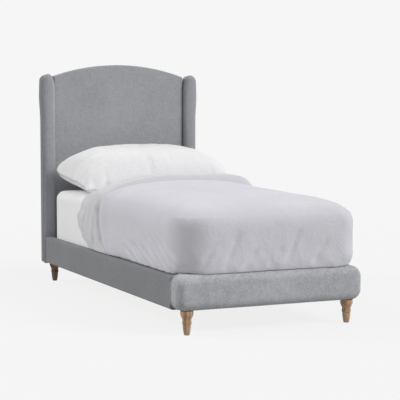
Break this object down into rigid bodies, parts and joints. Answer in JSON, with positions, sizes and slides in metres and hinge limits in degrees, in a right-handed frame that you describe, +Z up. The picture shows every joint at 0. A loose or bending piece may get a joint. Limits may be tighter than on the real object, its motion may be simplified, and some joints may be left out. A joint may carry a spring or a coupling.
{
  "type": "bed",
  "caption": "Upholstered single bed with an arched headboard between two wings, padded foot panel, turned wooden legs and slats, made up with mattress, pillow, blanket and duvet.",
  "frame": {"origin": "on the floor under the middle of the bed", "axes": "+Y points to the head of the bed, +X to its right seen from the foot, and +Z up"},
  "size_m": [0.998, 2.12, 1.3129],
  "materials": {
    "upholstery": "matte",
    "lining": "matte",
    "foam": "matte",
    "timber": "matte",
    "plywood": "matte",
    "beech": "satin",
    "oak": "satin",
    "steel": "satin",
    "moulded": "matte",
    "ticking": "matte",
    "linen": "matte",
    "quilt": "matte",
    "duvet_cover": "matte"
  },
  "bodies": {
    "frame": {"headboard_panel": "plywood", "headboard_post_left": "timber", "headboard_post_right": "timber", "headboard_arch_rail": "timber", "headboard_mid_rail": "timber", "headboard_base_rail": "timber", "headboard_padding": "foam", "headboard_front_cover": "upholstery", "headboard_back_cover": "lining", "wing_core_left": "timber", "wing_core_right": "timber", "wing_padding_left": "foam", "wing_padding_right": "foam", "wing_cover_left": "upholstery", "wing_cover_right": "upholstery", "rail_board_left": "timber", "rail_board_right": "timber", "rail_padding_left": "foam", "rail_padding_right": "foam", "rail_cover_left": "upholstery", "rail_cover_right": "upholstery", "slat_batten_left": "timber", "slat_batten_right": "timber", "foot_board": "timber", "foot_padding": "foam", "foot_cover": "upholstery", "foot_piping": "upholstery", "leg_block_front_left": "timber", "leg_block_front_right": "timber", "leg_block_rear_left": "timber", "leg_block_rear_right": "timber", "leg_front_left": "oak", "leg_front_right": "oak", "leg_rear_left": "oak", "leg_rear_right": "oak", "leg_bolts": "steel", "leg_tee_nuts": "steel", "corner_brackets": "steel", "bracket_bolts": "steel", "wing_bolts": "steel", "slat_holders": "moulded", "slat_01": "beech", "slat_02": "beech", "slat_03": "beech", "slat_04": "beech", "slat_05": "beech", "slat_06": "beech", "slat_07": "beech", "slat_08": "beech", "slat_09": "beech", "slat_10": "beech", "slat_11": "beech", "slat_12": "beech", "slat_13": "beech"},
    "mattress": {"mattress": "ticking", "fitted_sheet": "linen"},
    "pillow": {"pillow": "ticking", "pillowcase": "linen"},
    "blanket": {"blanket": "quilt"},
    "duvet": {"duvet": "duvet_cover"}
  },
  "joints": [
    {"name": "mattress_lift", "type": "slide", "parent": "frame", "child": "mattress", "axis": [0, 0, 1], "range_m": [0, 0.4]},
    {"name": "pillow_lift", "type": "slide", "parent": "mattress", "child": "pillow", "axis": [0, 0, 1], "range_m": [0, 0.4]},
    {"name": "blanket_lift", "type": "slide", "parent": "mattress", "child": "blanket", "axis": [0, 0, 1], "range_m": [0, 0.45]},
    {"name": "duvet_lift", "type": "slide", "parent": "blanket", "child": "duvet", "axis": [0, 0, 1], "range_m": [0, 0.45]}
  ]
}
